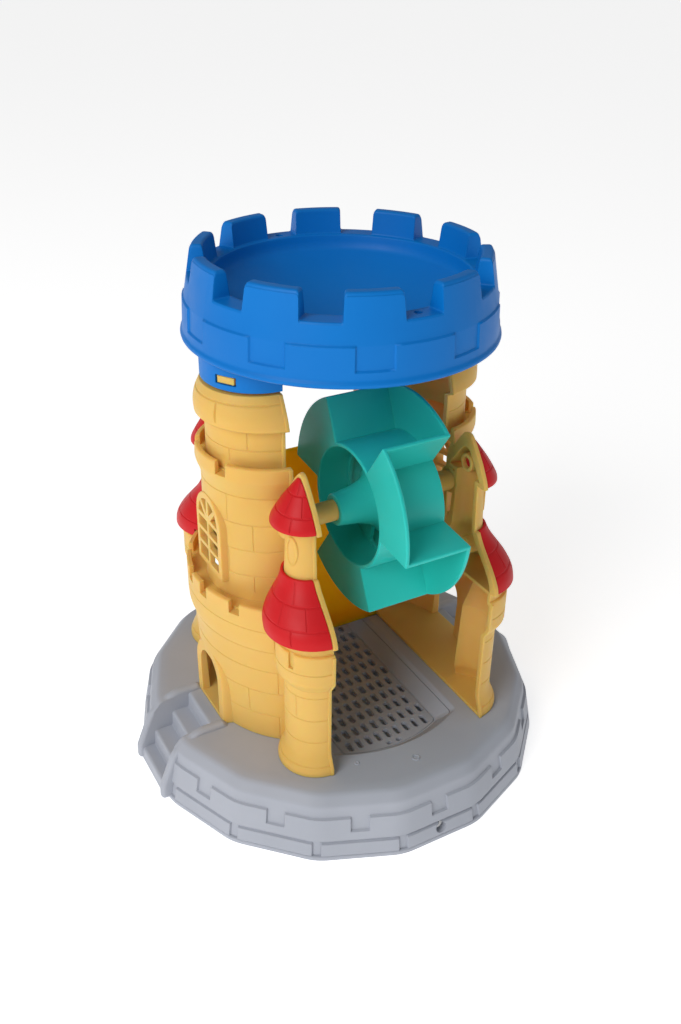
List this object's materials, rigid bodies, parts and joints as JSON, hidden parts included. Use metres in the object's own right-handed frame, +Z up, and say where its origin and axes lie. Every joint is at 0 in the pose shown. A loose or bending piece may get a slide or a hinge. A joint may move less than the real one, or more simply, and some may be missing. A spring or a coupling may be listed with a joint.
{
  "type": "castle tower sand and water mill",
  "caption": "Toy castle sand mill: battlement hopper on two half towers with red roofs, a free-spinning paddle wheel between them, stepped base with a sieve basin.",
  "frame": {"origin": "centre of the base's footprint, on the ground", "axes": "+X along the wheel's axle towards the right tower, -Y towards the open front, +Z up"},
  "size_m": [0.276, 0.2668, 0.3304],
  "materials": {
    "grey_plastic": "fine satin moulded polypropylene, cool grey",
    "yellow_plastic": "slightly translucent satin polypropylene, sand yellow",
    "amber_plastic": "slightly translucent satin polypropylene, deep amber",
    "red_plastic": "satin red moulded plastic",
    "teal_plastic": "glossy teal moulded plastic",
    "blue_plastic": "satin bright blue polypropylene"
  },
  "bodies": {
    "mill": {"base": "grey_plastic", "sieve_plate": "grey_plastic", "rear_panel": "amber_plastic", "axle": "yellow_plastic", "hopper": "blue_plastic", "right_tower": "yellow_plastic", "left_tower": "yellow_plastic", "right_back_lower_roof": "red_plastic", "right_front_lower_roof": "red_plastic", "left_back_lower_roof": "red_plastic", "left_front_lower_roof": "red_plastic", "right_back_upper_roof": "red_plastic", "right_front_upper_roof": "red_plastic", "left_back_upper_roof": "red_plastic", "left_front_upper_roof": "red_plastic"},
    "wheel": {"paddle_wheel": "teal_plastic"}
  },
  "joints": [
    {"name": "wheel_spin", "type": "hinge", "parent": "mill", "child": "wheel", "pos_m": [0.004, -0.041, 0.1907], "axis": [1, 0, 0], "continuous": true}
  ]
}
